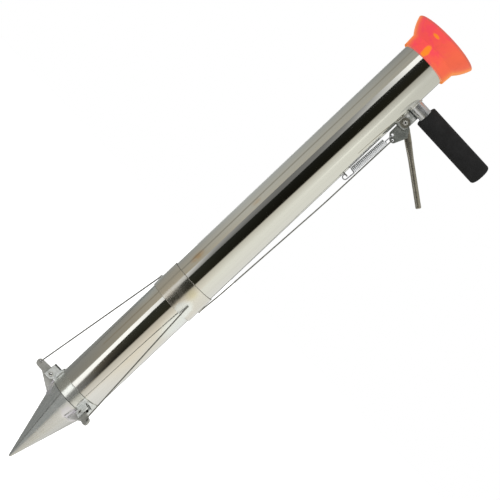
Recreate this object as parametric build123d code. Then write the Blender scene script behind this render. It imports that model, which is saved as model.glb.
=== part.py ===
"""Hand planter: a long barrel with a funnel mouth and a cone of three hinged jaws at its foot.

Squeezing the trigger under the grip pulls a wire, the wire lifts a sleeve along the barrel, and
three more wires from the sleeve turn the jaws outwards, so that a seedling drops into the hole.

Millimetres. The closed jaws' point is the origin, +Z runs up the barrel and +X along the handle.
Points written as two numbers lie in the plane of x and z.
"""
from build123d import *
import os
from math import acos, asin, atan2, cos, degrees, hypot, radians, sin, sqrt

# Barrel
barrel_diameter = 76.0
barrel_wall = 0.8
barrel_length = 767.0

# Cone of jaws
jaw_names = "abc"
first_jaw_angle = 180.0
cone_length = 135.0
cone_wall = 1.2
tip_radius = 2.5
tip_floor = 8.0
split_gap = 0.8
collar_gap = 1.2

# Collar round the barrel's foot
collar_height = 21.3
collar_wall = 1.4

# Jaw hinges, measured from the barrel's surface and its foot
hinge_standoff = 11.0
hinge_rise = 2.1
ear_thickness = 2.0
ear_top = 15.3
ear_bottom = 7.0
ear_top_outer = 5.6
ear_bottom_outer = 7.2
ear_corner = 5.0
foot_width = 18.0
foot_thickness = 1.5
foot_top_gap = 0.8

# Rivets, shared by the jaw hinges and the trigger
rivet_diameter = 6.0
rivet_bore = 3.0
rivet_head_overhang = 1.3
rivet_head_height = 1.0
rivet_lip = 0.25
pin_clearance = 0.05

# Jaw levers, measured from the hinge; the wire's hole sits off the middle of the arm's round end
lever_thickness = 3.5
lever_side_clearance = 0.45
lever_hub_radius = 7.4
lever_reach = 24.0
lever_rise = 3.0
lever_end_radius = 6.3
lever_hole_out = 0.7
lever_hole_up = 2.8
lever_tail_reach = 15.0
lever_tail_drop = 5.6
lever_tail_length = 22.0
lever_tail_top_gap = 2.6
lever_foot_width = 13.0
lever_foot_thickness = 1.2

# Sleeve that slides on the barrel
sleeve_wall = 1.2
sleeve_clearance = 0.4
sleeve_length = 47.8
sleeve_height = 214.2

# Wires
wire_diameter = 2.2
wire_bend_radius = 2.6
wire_end_length = 2.5
wire_face_gap = 1.15
wire_seat_gap = 0.3
jaw_wire_face_gap = 0.9
jaw_wire_seat_offset = 2.2
jaw_wire_top = 18.0
jaw_wire_leave = 12.0
jaw_wire_bow_radius = 40.0
jaw_wire_hole_clearance = 1.1
trigger_wire_foot = 18.7
trigger_wire_seat = 10.0
trigger_wire_step_height = 32.0
trigger_wire_step_out = 2.4
trigger_wire_knee_drop = 142.0
trigger_wire_knee_in = 1.2
trigger_wire_foot_radius = 96.0
trigger_wire_step_radius = 320.0
trigger_wire_knee_radius = 1400.0
trigger_wire_hole_clearance = 2.0
trigger_wire_hole_slack = 0.55

# Mouth funnel
socket_depth = 19.4
socket_clearance = 0.05
funnel_wall = 2.6
funnel_collar_wall = 3.7
funnel_collar_flare = 1.2
throat_height = 2.0
flare_height = 26.2
flare_spread = 14.5
flare_bulge = 1.6

# Handle
handle_drop = 70.6
handle_tube_diameter = 22.0
handle_tube_wall = 1.2
grip_diameter = 36.0
grip_standoff = 22.5
grip_length = 127.6
grip_end_wall = 9.0
grip_end_radius = 4.8
grip_near_radius = 2.4
grip_clearance = 0.1

# Trigger, measured from its pivot below the handle
pivot_drop = 30.9
pivot_standoff = 7.8
trigger_bracket_inner_width = 10.4
trigger_ear_drop = 10.2
trigger_ear_outer = 8.5
trigger_ear_corner = 5.5
trigger_web_rise = 5.0
trigger_web_thickness = 1.6
bush_wall = 1.95
bush_end_clearance = 0.2
plate_thickness = 3.0
plate_offset = -2.5
plate_hub_wall = 1.35
plate_corner_radius = 3.6
plate_corners = [
    (-6.0, -5.0),
    (-5.2, -27.2),
    (3.6, -35.6),
    (10.6, -35.6),
    (20.2, -13.0),
    (10.2, 0.8),
]
plate_bore_clearance = 0.05
wire_hole_reach = 6.8
wire_hole_drop = 32.0
spring_hole_reach = 0.4
spring_hole_drop = 26.6
rod_angle = 33.8
rod_lift = 1.3
rod_length = 134.6
rod_diameter = 9.0
rod_start = 8.0
rod_flat_end = 30.0
rod_round_start = 58.0
rod_flat_width = 11.2
rod_flat_thickness = 3.9
rod_flat_sink = 0.5
rod_end_radius = 1.6

# Return spring between the trigger plate and a slotted tab on the barrel
spring_wire_diameter = 1.5
spring_diameter = 9.5
spring_turns = 25
spring_coil_length = 66.4
spring_shank_length = 15.0
spring_gap = 0.45
spring_face_gap = 0.5
spring_lead_angle = 60.0
spring_loop_start = 105.0
spring_bend_radius = 1.6
spring_end_length = 2.0
spring_hole_clearance = 2.9
spring_hole_slack = 0.9
tab_rise = 3.2
tab_thickness = 1.5
tab_width = 10.0
tab_reach = 1.6
tab_corner = 2.0
tab_slot_clearance = 2.5
tab_bar = 1.5

# Places worked out from the sizes above
barrel_radius = barrel_diameter / 2
bore_radius = barrel_radius - barrel_wall
foot_z = cone_length + collar_gap
mouth_z = foot_z + barrel_length
collar_radius = barrel_radius + collar_wall
hinge = Vector(barrel_radius + hinge_standoff, foot_z + hinge_rise)
lever_hole = hinge + Vector(lever_reach, lever_rise)
lever_end = lever_hole - Vector(lever_hole_out, lever_hole_up)
sleeve_radius = barrel_radius + sleeve_clearance + sleeve_wall
sleeve_z = foot_z + sleeve_height
wire_radius = wire_diameter / 2
wire_seat_x = sleeve_radius + wire_seat_gap + wire_radius
handle_z = mouth_z - handle_drop
pivot = Vector(barrel_radius + pivot_standoff, handle_z - pivot_drop)
plate_near_y = plate_offset - plate_thickness / 2
plate_far_y = plate_offset + plate_thickness / 2
wire_hole = pivot + Vector(wire_hole_reach, -wire_hole_drop)
spring_hole = pivot + Vector(spring_hole_reach, -spring_hole_drop)
bush_radius = rivet_diameter / 2 + pin_clearance + bush_wall
plate_hub_radius = bush_radius + plate_bore_clearance + plate_hub_wall
jaw_step = 360 / len(jaw_names)


def ring(outer_radius, inner_radius, bottom, top):
    """Upright ring between two heights."""
    height = top - bottom
    solid = Cylinder(outer_radius, height) - Cylinder(inner_radius, height)
    return Pos(0, 0, (bottom + top) / 2) * solid


def upright(outline, thickness, middle=0.0):
    """Plate whose outline is drawn in x and z, standing across the y axis about a middle."""
    return Pos(0, middle, 0) * extrude(Plane.XZ * outline, thickness / 2, both=True)


def cross_pin(place, radius, length, middle=0.0):
    """Cylinder along y through a point of the x z plane."""
    return Pos(place.X, middle, place.Y) * Rot(90, 0, 0) * Cylinder(radius, length)


def link(first, first_radius, second, second_radius):
    """Outline of two discs and the straight strip that touches both."""
    span = second - first
    course = atan2(span.Y, span.X)
    lean = acos((first_radius - second_radius) / span.length)
    corners = []
    for place, radius, sides in ((first, first_radius, (1, -1)), (second, second_radius, (-1, 1))):
        for side in sides:
            turn = course + side * lean
            corners.append((place.X + radius * cos(turn), place.Y + radius * sin(turn)))
    discs = Pos(first.X, first.Y) * Circle(first_radius) + Pos(second.X, second.Y) * Circle(second_radius)
    return discs + Polygon(*corners, align=None)


def rivet(place, grip):
    """Hollow rivet along y with a coned head outside each face of what it holds."""
    shank_radius = rivet_diameter / 2
    head_radius = shank_radius + rivet_head_overhang
    head_top_radius = (head_radius + shank_radius) / 2
    head = Cone(head_radius, head_top_radius, rivet_head_height)
    mouth = Cone(rivet_bore / 2, shank_radius - rivet_lip, rivet_head_height)
    solid = Cylinder(shank_radius, grip)
    middle = grip / 2 + rivet_head_height / 2
    for turn in (0, 180):
        solid += Rot(turn, 0, 0) * Pos(0, 0, middle) * head
    solid -= Cylinder(rivet_bore / 2, grip + 2 * rivet_head_height)
    for turn in (0, 180):
        solid -= Rot(turn, 0, 0) * Pos(0, 0, middle) * mouth
    return Pos(place.X, 0, place.Y) * Rot(90, 0, 0) * solid


def bent_wire(points, radii):
    """Round wire along straight runs that are joined by arcs."""
    path = FilletPolyline(*points, radius=radii)
    section = Plane(origin=path @ 0, z_dir=path % 0) * Circle(wire_radius)
    return sweep(section, path=path)


# Cone line: it leaves the ball at the point along a tangent and ends at the barrel's radius
ball_span = hypot(barrel_radius, cone_length - tip_radius)
cone_lean = atan2(barrel_radius, cone_length - tip_radius) - asin(tip_radius / ball_span)
ball_end = (tip_radius * cos(cone_lean), tip_radius * (1 - sin(cone_lean)))
cone_slope = (barrel_radius - ball_end[0]) / (cone_length - ball_end[1])


def cone_radius(z):
    """Outer radius of the closed cone at a height."""
    return barrel_radius - (cone_length - z) * cone_slope


def barrel_tube():
    return ring(barrel_radius, bore_radius, foot_z, mouth_z)


def hinge_collar():
    return ring(collar_radius, barrel_radius, foot_z, foot_z + collar_height)


def jaw_shell():
    """One third of the cone, centred on the +X side and solid at its point."""
    wall_x = cone_wall / cos(cone_lean)
    floor_radius = cone_radius(tip_floor) - wall_x
    ball_middle = (tip_radius * sin(radians(45)), tip_radius * (1 - cos(radians(45))))
    profile = make_face(
        [
            ThreePointArc((0, 0), ball_middle, ball_end),
            Line(ball_end, (barrel_radius, cone_length)),
            Line((barrel_radius, cone_length), (barrel_radius - wall_x, cone_length)),
            Line((barrel_radius - wall_x, cone_length), (floor_radius, tip_floor)),
            Line((floor_radius, tip_floor), (0, tip_floor)),
            Line((0, tip_floor), (0, 0)),
        ]
    )
    shell = Rot(0, 0, -jaw_step / 2) * revolve(Plane.XZ * profile, Axis.Z, jaw_step)
    for side in (-1, 1):
        cut = Pos(0, 0, cone_length / 2) * Box(4 * barrel_radius, split_gap, 2 * cone_length)
        shell -= Rot(0, 0, side * jaw_step / 2) * cut
    return shell


def jaw_lever():
    """Lever plate on the jaw at +X: hub on the hinge, arm outwards to the wire, tail on the cone."""
    tail_z = cone_length - lever_tail_length
    tail_top_z = cone_length - lever_tail_top_gap
    tail = Polygon(
        (hinge.X + lever_tail_reach, hinge.Y - lever_tail_drop),
        (cone_radius(tail_z), tail_z),
        (cone_radius(tail_z) - cone_wall, tail_z),
        (cone_radius(tail_top_z) - cone_wall, tail_top_z),
        (hinge.X, hinge.Y),
        align=None,
    )
    plate = upright(link(hinge, lever_hub_radius, lever_end, lever_end_radius) + tail, lever_thickness)
    skin = lever_foot_thickness / cos(cone_lean)
    strip = Polygon(
        (cone_radius(tail_z), tail_z),
        (cone_radius(tail_z) + skin, tail_z),
        (cone_radius(tail_top_z) + skin, tail_top_z),
        (cone_radius(tail_top_z), tail_top_z),
        align=None,
    )
    sweep_angle = 2 * degrees(asin(lever_foot_width / 2 / cone_radius(tail_top_z)))
    foot = Rot(0, 0, -sweep_angle / 2) * revolve(Plane.XZ * strip, Axis.Z, sweep_angle)
    cone = Pos(0, 0, cone_length / 2) * Cone(cone_radius(0), barrel_radius, cone_length)
    lever = plate - cone + foot
    lever -= cross_pin(hinge, rivet_diameter / 2 + pin_clearance, 2 * lever_thickness)
    lever -= cross_pin(lever_hole, (wire_diameter + jaw_wire_hole_clearance) / 2, 2 * lever_thickness)
    return lever


ear_middle = lever_thickness / 2 + lever_side_clearance + ear_thickness / 2
hinge_grip = 2 * ear_middle + ear_thickness


def hinge_bracket():
    """Two ears on a curved foot that lies on the collar, at +X."""
    ear_top_z = hinge.Y + ear_top
    ear_bottom_z = hinge.Y - ear_bottom
    ear = Polygon(
        (barrel_radius, ear_top_z),
        (hinge.X + ear_top_outer, ear_top_z),
        (hinge.X + ear_bottom_outer, ear_bottom_z),
        (collar_radius + ear_corner, ear_bottom_z),
        (collar_radius, ear_bottom_z + ear_corner),
        (barrel_radius, ear_bottom_z + ear_corner),
        align=None,
    )
    ears = upright(ear, ear_thickness, -ear_middle) + upright(ear, ear_thickness, ear_middle)
    foot_top = foot_z + collar_height - foot_top_gap
    foot_ring = ring(collar_radius + foot_thickness, collar_radius, hinge.Y, foot_top)
    window = Pos(collar_radius, 0, hinge.Y) * Box(collar_radius, foot_width, 4 * collar_height)
    within = Pos(0, 0, hinge.Y) * Cylinder(collar_radius, 4 * collar_height)
    bracket = ears - within + (foot_ring & window)
    return bracket - cross_pin(hinge, rivet_diameter / 2 + pin_clearance, 2 * hinge_grip)


def hinge_rivet():
    return rivet(hinge, hinge_grip)


def slider_sleeve():
    return ring(sleeve_radius, barrel_radius + sleeve_clearance, sleeve_z, sleeve_z + sleeve_length)


def jaw_wire():
    """Wire from the sleeve's surface down beside the lever at +X, hooked through the lever's hole."""
    hook_y = -lever_thickness / 2 - jaw_wire_face_gap - wire_radius
    end_y = lever_thickness / 2 + wire_end_length
    seat = (sqrt(wire_seat_x**2 - jaw_wire_seat_offset**2), -jaw_wire_seat_offset)
    points = [
        (*seat, sleeve_z + jaw_wire_top),
        (*seat, sleeve_z + jaw_wire_leave),
        (lever_hole.X, hook_y, lever_hole.Y),
        (lever_hole.X, end_y, lever_hole.Y),
    ]
    return bent_wire(points, [jaw_wire_bow_radius, wire_bend_radius])


def trigger_wire():
    """Wire from the sleeve's surface up to the trigger plate, hooked through the plate's hole."""
    run_y = plate_far_y + wire_face_gap + wire_radius
    end_y = plate_near_y - wire_end_length
    hook_z = wire_hole.Y - trigger_wire_hole_slack
    seat_z = sleeve_z + trigger_wire_foot
    leave_z = seat_z + trigger_wire_seat
    points = [
        (wire_seat_x, run_y, seat_z),
        (wire_seat_x, run_y, leave_z),
        (wire_seat_x + trigger_wire_step_out, run_y, leave_z + trigger_wire_step_height),
        (wire_hole.X - trigger_wire_knee_in, run_y, hook_z - trigger_wire_knee_drop),
        (wire_hole.X, run_y, hook_z),
        (wire_hole.X, end_y, hook_z),
    ]
    radii = [
        trigger_wire_foot_radius,
        trigger_wire_step_radius,
        trigger_wire_knee_radius,
        wire_bend_radius,
    ]
    return bent_wire(points, radii)


def mouth_funnel():
    """Moulded mouth: a socket over the barrel's end, a ledge at the bore and a flared bowl."""
    rim_z = mouth_z - socket_depth
    socket_radius = barrel_radius + socket_clearance
    collar_out = barrel_radius + funnel_collar_wall
    flare_out = collar_out + funnel_collar_flare
    lip_z = mouth_z + flare_height
    lip_out = flare_out + flare_spread
    lip_in = lip_out - funnel_wall
    throat_z = mouth_z + throat_height
    profile = make_face(
        [
            Line((socket_radius, rim_z), (collar_out, rim_z)),
            Line((collar_out, rim_z), (flare_out, mouth_z)),
            SagittaArc((flare_out, mouth_z), (lip_out, lip_z), -flare_bulge),
            ThreePointArc(
                (lip_out, lip_z),
                ((lip_out + lip_in) / 2, lip_z + funnel_wall / 2),
                (lip_in, lip_z),
            ),
            SagittaArc((lip_in, lip_z), (bore_radius, throat_z), flare_bulge),
            Line((bore_radius, throat_z), (bore_radius, mouth_z)),
            Line((bore_radius, mouth_z), (socket_radius, mouth_z)),
            Line((socket_radius, mouth_z), (socket_radius, rim_z)),
        ]
    )
    return revolve(Plane.XZ * profile, Axis.Z)


def along_handle(radius, start, end):
    """Cylinder on the handle's axis between two distances from the barrel's axis."""
    return Pos((start + end) / 2, 0, handle_z) * Rot(0, 90, 0) * Cylinder(radius, end - start)


grip_start = barrel_radius + grip_standoff
grip_end = grip_start + grip_length
handle_end = grip_end - grip_end_wall


def handle_tube():
    """Tube whose near end is cut to the barrel's round."""
    outer_radius = handle_tube_diameter / 2
    tube = along_handle(outer_radius, 0, handle_end)
    tube -= along_handle(outer_radius - handle_tube_wall, 0, 2 * handle_end)
    return tube - Pos(0, 0, handle_z) * Cylinder(barrel_radius, 4 * outer_radius)


def handle_grip():
    """Foam grip with a closed, rounded outer end."""
    grip = along_handle(grip_diameter / 2, grip_start, grip_end)
    ends = grip.edges().filter_by(GeomType.CIRCLE).sort_by(Axis.X)
    grip = fillet(ends[-1], grip_end_radius)
    ends = grip.edges().filter_by(GeomType.CIRCLE).sort_by(Axis.X)
    grip = fillet(ends[0], grip_near_radius)
    return grip - along_handle(handle_tube_diameter / 2 + grip_clearance, 0, handle_end)


trigger_ear_middle = trigger_bracket_inner_width / 2 + ear_thickness / 2
trigger_grip = trigger_bracket_inner_width + 2 * ear_thickness


def trigger_bracket():
    """Channel under the handle: two ears round the pivot and a web on the barrel."""
    ear = Polygon(
        (0, handle_z),
        (0, pivot.Y - trigger_ear_drop),
        (pivot.X + trigger_ear_outer, pivot.Y - trigger_ear_drop),
        (pivot.X + trigger_ear_outer, handle_z),
        align=None,
    )
    low_corner = ear.vertices().group_by(Axis.X)[-1].sort_by(Axis.Y)[0]
    ear = fillet(low_corner, trigger_ear_corner)
    bracket = upright(ear, ear_thickness, -trigger_ear_middle)
    bracket += upright(ear, ear_thickness, trigger_ear_middle)
    web = ring(
        barrel_radius + trigger_web_thickness, barrel_radius, pivot.Y + trigger_web_rise, handle_z
    )
    window = Pos(barrel_radius, 0, handle_z) * Box(barrel_radius, trigger_grip, 4 * pivot_drop)
    bracket -= Pos(0, 0, handle_z) * Cylinder(barrel_radius, 4 * pivot_drop)
    bracket += web & window
    bracket -= along_handle(handle_tube_diameter / 2, 0, grip_end)
    return bracket - cross_pin(pivot, rivet_diameter / 2 + pin_clearance, 2 * trigger_grip)


def trigger_rivet():
    return rivet(pivot, trigger_grip)


def trigger_bush():
    """Spacer tube on the rivet, between the bracket's ears."""
    length = trigger_bracket_inner_width - 2 * bush_end_clearance
    bush = cross_pin(pivot, bush_radius, length)
    return bush - cross_pin(pivot, rivet_diameter / 2 + pin_clearance, 2 * length)


def plate_outline():
    """Outline of the trigger plate with its hub, without holes."""
    corners = [pivot + Vector(*corner) for corner in plate_corners]
    edge = FilletPolyline(*corners, radius=plate_corner_radius, close=True)
    return make_face(edge) + Pos(pivot.X, pivot.Y) * Circle(plate_hub_radius)


def trigger_plate():
    """Plate on the bush, with a hole for the pull wire and one for the return spring."""
    plate = upright(plate_outline(), plate_thickness, plate_offset)
    holes = (
        (pivot, bush_radius + plate_bore_clearance),
        (wire_hole, (wire_diameter + trigger_wire_hole_clearance) / 2),
        (spring_hole, (spring_wire_diameter + spring_hole_clearance) / 2),
    )
    for place, radius in holes:
        plate -= cross_pin(place, radius, 4 * plate_thickness)
    return plate


def trigger_rod():
    """Finger lever: round below, flattened above where it lies behind the plate."""
    middle_y = plate_far_y + rod_flat_thickness / 2 - rod_flat_sink
    turn = radians(rod_angle)
    course = Vector(cos(turn), 0, -sin(turn))
    start = Vector(pivot.X + rod_lift * sin(turn), middle_y, pivot.Y + rod_lift * cos(turn))

    def section(distance, width, thickness):
        plane = Plane(origin=start + course * distance, x_dir=(0, 1, 0), z_dir=course)
        return plane * Ellipse(thickness / 2, width / 2)

    flat_top = section(rod_start, rod_flat_width, rod_flat_thickness)
    flat_bottom = section(rod_flat_end, rod_flat_width, rod_flat_thickness)
    round_top = section(rod_round_start, rod_diameter, rod_diameter)
    rod = loft([flat_top, flat_bottom], ruled=True) + loft([flat_bottom, round_top], ruled=True)
    round_length = rod_length - rod_round_start
    round_middle = Plane(origin=start + course * (rod_round_start + round_length / 2), z_dir=course)
    shaft = Cylinder(rod_diameter / 2, round_length)
    lower_edge = shaft.edges().filter_by(GeomType.CIRCLE).sort_by(Axis.Z)[-1]
    rod += round_middle * fillet(lower_edge, rod_end_radius)
    before_plate = upright(plate_outline(), rod_diameter, plate_far_y - rod_diameter / 2)
    return rod - before_plate


# The spring's axis runs from its loop beside the barrel to its hook low in the plate's hole
spring_wire_radius = spring_wire_diameter / 2
spring_radius = (spring_diameter - spring_wire_diameter) / 2
spring_length = spring_coil_length + 2 * spring_shank_length
spring_y = plate_near_y - spring_face_gap - spring_wire_radius
spring_hook = spring_hole - Vector(0, spring_hole_slack)
spring_standoff = barrel_radius + spring_gap + spring_diameter / 2
loop_x = sqrt(spring_standoff**2 - spring_y**2)
spring_lean = asin((spring_hook.X - loop_x) / spring_length)
loop_z = spring_hook.Y - spring_length * cos(spring_lean)


def biarc(start, start_way, end, end_way):
    """Two arcs that leave and meet the given points along the given directions."""
    chord = end - start
    ways = start_way + end_way
    square = 2 - 2 * start_way.dot(end_way)
    reach = (sqrt(chord.dot(ways) ** 2 + square * chord.dot(chord)) - chord.dot(ways)) / square
    first = start + start_way * reach
    second = end - end_way * reach
    joint = (first + second) * 0.5
    middle_way = (second - first).normalized()
    return [TangentArc(start, joint, tangent=start_way), TangentArc(joint, end, tangent=middle_way)]


def spring_path():
    """Edges of the spring's wire from the lower loop, about the loop's centre, to the upper hook."""
    pitch = spring_coil_length / spring_turns
    rise = pitch / 360
    up = Vector(0, 0, 1)

    def loop_point(angle):
        turn = radians(angle)
        return Vector(spring_radius * cos(turn), 0, spring_radius * sin(turn))

    def loop_way(angle):
        turn = radians(angle)
        return Vector(-sin(turn), 0, cos(turn))

    def coil_point(angle):
        turn = radians(angle)
        height = spring_shank_length + angle * rise
        return Vector(spring_radius * cos(turn), spring_radius * sin(turn), height)

    def coil_way(angle):
        turn = radians(angle)
        along = Vector(-spring_radius * sin(turn), spring_radius * cos(turn), pitch / radians(360))
        return along.normalized()

    edges = []
    half_way = (spring_loop_start + 360) / 2
    for start, end in ((spring_loop_start, half_way), (half_way, 360)):
        edges.append(TangentArc(loop_point(start), loop_point(end), tangent=loop_way(start)))
    first = spring_lead_angle
    last = 360 * spring_turns - spring_lead_angle
    shank_top = Vector(spring_radius, 0, spring_shank_length - spring_radius)
    edges.append(Line(loop_point(360), shank_top))
    edges += biarc(shank_top, up, coil_point(first), coil_way(first))
    quarters = 4 * spring_turns
    for i in range(quarters):
        angle = first + (last - first) * i / quarters
        following = first + (last - first) * (i + 1) / quarters
        edges += biarc(coil_point(angle), coil_way(angle), coil_point(following), coil_way(following))
    centre = Vector(0, 0, spring_coil_length + spring_shank_length + spring_radius)
    edges += biarc(coil_point(last), coil_way(last), centre, up)
    bend_start = Vector(0, 0, spring_length - spring_bend_radius)
    bend_end = Vector(0, spring_bend_radius, spring_length)
    hook_length = plate_far_y + spring_end_length - spring_y
    edges.append(Line(centre, bend_start))
    edges.append(TangentArc(bend_start, bend_end, tangent=up))
    edges.append(Line(bend_end, Vector(0, hook_length, spring_length)))
    return edges


def least_gap(edges):
    """Smallest clear gap between stretches of the wire that aren't next to each other along it."""
    points = []
    travelled = 0.0
    steps = 6
    for edge in edges:
        for i in range(steps):
            points.append((edge @ (i / steps), travelled + edge.length * i / steps))
        travelled += edge.length
    apart = 3 * spring_wire_diameter
    gaps = []
    for i, (here, place) in enumerate(points):
        for there, other in points[i + 1 :]:
            if other - place > apart:
                gaps.append((here - there).length)
    return min(gaps) - spring_wire_diameter


def return_spring():
    """One unbroken wire: a loop on the tab, the coil, and a hook through the trigger plate."""
    edges = spring_path()
    path = Wire([edge.edge() for edge in edges])
    section = Plane(origin=path @ 0, z_dir=path % 0) * Circle(spring_wire_radius)
    spring = sweep(section, path=path)
    print("spring: least gap to itself", round(least_gap(edges), 3), "mm")
    return Pos(loop_x, spring_y, loop_z) * Rot(0, degrees(spring_lean), 0) * spring


def spring_tab():
    """Slotted shelf on the barrel, whose outer bar the spring's lower loop goes round."""
    middle = loop_z + tab_rise
    nose_end = loop_x + tab_reach
    nose = Pos(nose_end / 2, spring_y, middle) * Box(nose_end, tab_width, tab_thickness)
    corners = nose.edges().filter_by(Axis.Z).sort_by(Axis.X)[-2:]
    slot_end = nose_end - tab_bar
    slot_width = spring_wire_diameter + tab_slot_clearance
    slot = Pos(slot_end / 2, spring_y, middle) * Box(slot_end, slot_width, 2 * tab_thickness)
    barrel = Pos(0, 0, middle) * Cylinder(barrel_radius, 4 * tab_thickness)
    return fillet(corners, tab_corner) - slot - barrel


single_pieces = [
    barrel_tube,
    hinge_collar,
    slider_sleeve,
    trigger_wire,
    mouth_funnel,
    handle_tube,
    handle_grip,
    trigger_bracket,
    trigger_rivet,
    trigger_bush,
    trigger_plate,
    trigger_rod,
    return_spring,
    spring_tab,
]
jaw_pieces = [jaw_shell, jaw_lever, hinge_bracket, hinge_rivet, jaw_wire]

os.makedirs("parts", exist_ok=True)
for make in single_pieces:
    export_step(make(), f"parts/{make.__name__}.step")
for make in jaw_pieces:
    piece = make()
    for i, letter in enumerate(jaw_names):
        turned = Rot(0, 0, first_jaw_angle + jaw_step * i) * piece
        export_step(turned, f"parts/{make.__name__}_{letter}.step")
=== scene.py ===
from math import acos, asin, atan2, cos, hypot, pi, radians, sin, sqrt

import bmesh
import bpy
from mathutils import Matrix, Vector


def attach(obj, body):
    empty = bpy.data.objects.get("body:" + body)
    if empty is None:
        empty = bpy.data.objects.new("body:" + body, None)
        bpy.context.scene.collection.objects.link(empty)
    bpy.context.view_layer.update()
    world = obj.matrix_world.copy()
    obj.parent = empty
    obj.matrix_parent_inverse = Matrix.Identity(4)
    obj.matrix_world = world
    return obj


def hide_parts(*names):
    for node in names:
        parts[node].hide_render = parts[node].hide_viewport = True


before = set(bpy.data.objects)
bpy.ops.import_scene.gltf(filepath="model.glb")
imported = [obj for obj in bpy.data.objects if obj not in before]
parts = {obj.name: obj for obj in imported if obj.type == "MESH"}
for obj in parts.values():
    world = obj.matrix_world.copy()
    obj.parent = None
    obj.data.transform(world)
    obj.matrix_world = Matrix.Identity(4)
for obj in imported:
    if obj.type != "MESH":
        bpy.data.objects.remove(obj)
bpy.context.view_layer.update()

# Places and sizes of the planter, in metres: the jaws' point is the origin and +Z runs up the barrel
barrel_radius = 0.038
collar_radius, collar_top_z = 0.0394, 0.1575
sleeve_foot_z, sleeve_top_z = 0.3504, 0.3982
cone_height, cone_slope = 0.135, 0.26726
jaw_angles = {"a": 180, "b": 300, "c": 60}
hinge_out, hinge_z = 0.049, 0.1383
wire_seat_turn = asin(0.0022 / 0.041)  # how far round the sleeve a wire's end lies beside its lever
handle_z, handle_radius = 0.8326, 0.011
grip_start, grip_end, grip_floor = 0.0605, 0.1881, 0.1791
grip_radius, grip_bore = 0.018, 0.0111
trigger_out, trigger_z = 0.0458, 0.8017
tab_z = 0.68106
spring_foot = Vector((0.04288, -0.00525, 0.677857))
spring_lean = radians(1.974)
spring_pitch, spring_phase = 0.002656, 3.787
coil_low, coil_high = 0.0146, 0.0822
same_spot = 1e-6


def round_at(radius, turn, height):
    """Point at a distance from the barrel's axis, at an angle round it and at a height."""
    return Vector((radius * cos(turn), radius * sin(turn), height))


# Node helpers

def join(tree, value, socket):
    """A socket takes a plain value, or the output that feeds it."""
    if isinstance(value, bpy.types.NodeSocket):
        tree.links.new(value, socket)
    else:
        socket.default_value = value


def put(tree, kind, sockets=None, **settings):
    """New node in a tree, with its settings and what its sockets take."""
    node = tree.nodes.new("ShaderNode" + kind)
    for name, value in settings.items():
        setattr(node, name, value)
    for name, value in (sockets or {}).items():
        join(tree, value, node.inputs[name])
    return node


def use(tree, group, **sockets):
    """Outputs of an effect placed in a material with its own values."""
    return put(tree, "Group", sockets, node_tree=group).outputs


def maths(tree, operation, first, second=0.0, third=0.0):
    """Result of one sum on values."""
    sockets = {0: first, 1: second, 2: third}
    return put(tree, "Math", sockets, operation=operation).outputs[0]


def times(tree, first, second):
    return maths(tree, "MULTIPLY", first, second)


def raised(tree, base, mask, amount):
    """Value raised by a mask times an amount."""
    return maths(tree, "MULTIPLY_ADD", mask, amount, base)


def vectors(tree, operation, first, second=(0, 0, 0)):
    """Result of one sum on vectors, which is a value where the sum measures."""
    made = put(tree, "VectorMath", {0: first, 1: second}, operation=operation).outputs
    return made["Value" if operation in ("DOT_PRODUCT", "DISTANCE", "LENGTH") else "Vector"]


def sides(tree, place):
    """The x, y and z of each spot."""
    return put(tree, "SeparateXYZ", {0: place}).outputs


def noise(tree, place, scale, detail, roughness=0.5, distortion=0.0):
    """Cloudy value between 0 and 1."""
    sockets = {"Vector": place, "Scale": scale, "Detail": detail, "Roughness": roughness,
               "Distortion": distortion}
    return put(tree, "TexNoise", sockets).outputs[0]


def spread(tree, value, low, high, to_low=0.0, to_high=1.0):
    """Value taken from one range to another with soft ends."""
    sockets = {"Value": value, "From Min": low, "From Max": high, "To Min": to_low, "To Max": to_high}
    return put(tree, "MapRange", sockets, interpolation_type="SMOOTHSTEP").outputs[0]


def tint(tree, share, first, second):
    """Colour between two colours, each an output or its red, green and blue."""
    node = put(tree, "Mix", data_type="RGBA")
    colours = [c if isinstance(c, bpy.types.NodeSocket) else (*c, 1) for c in (first, second)]
    for title, value in zip(("Factor_Float", "A_Color", "B_Color"), (share, *colours)):
        join(tree, value, next(s for s in node.inputs if s.identifier == title))
    return next(s for s in node.outputs if s.identifier == "Result_Color")


def away_from(tree, place, centre, squash=1.0):
    """Distance of each spot from a point, with heights counted more or less than the rest."""
    offset = vectors(tree, "SUBTRACT", place, centre)
    return vectors(tree, "LENGTH", vectors(tree, "MULTIPLY", offset, (1, 1, squash)))


def from_axis(tree, place):
    """Distance of each spot from the third axis."""
    return vectors(tree, "LENGTH", vectors(tree, "MULTIPLY", place, (1, 1, 0)))


def from_pivot(tree, place, angle, out, height):
    """Distance from a pivot that lies across the direction of an angle, at a distance out and a height."""
    beside = vectors(tree, "DOT_PRODUCT", place, round_at(1, radians(angle), 0))
    beside = maths(tree, "SUBTRACT", beside, out)
    above = maths(tree, "SUBTRACT", sides(tree, place)[2], height)
    return vectors(tree, "LENGTH", put(tree, "CombineXYZ", {0: beside, 1: 0.0, 2: above}).outputs[0])


def effect(name, inputs, outputs):
    """Empty node group with named sockets, and its two ends."""
    tree = bpy.data.node_groups.new(name, "ShaderNodeTree")
    for title, kind, value in inputs:
        socket = tree.interface.new_socket(title, in_out="INPUT", socket_type="NodeSocket" + kind)
        if value is not None:
            socket.default_value = value
    for title, kind in outputs:
        tree.interface.new_socket(title, in_out="OUTPUT", socket_type="NodeSocket" + kind)
    return tree, tree.nodes.new("NodeGroupInput").outputs, tree.nodes.new("NodeGroupOutput").inputs


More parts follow.
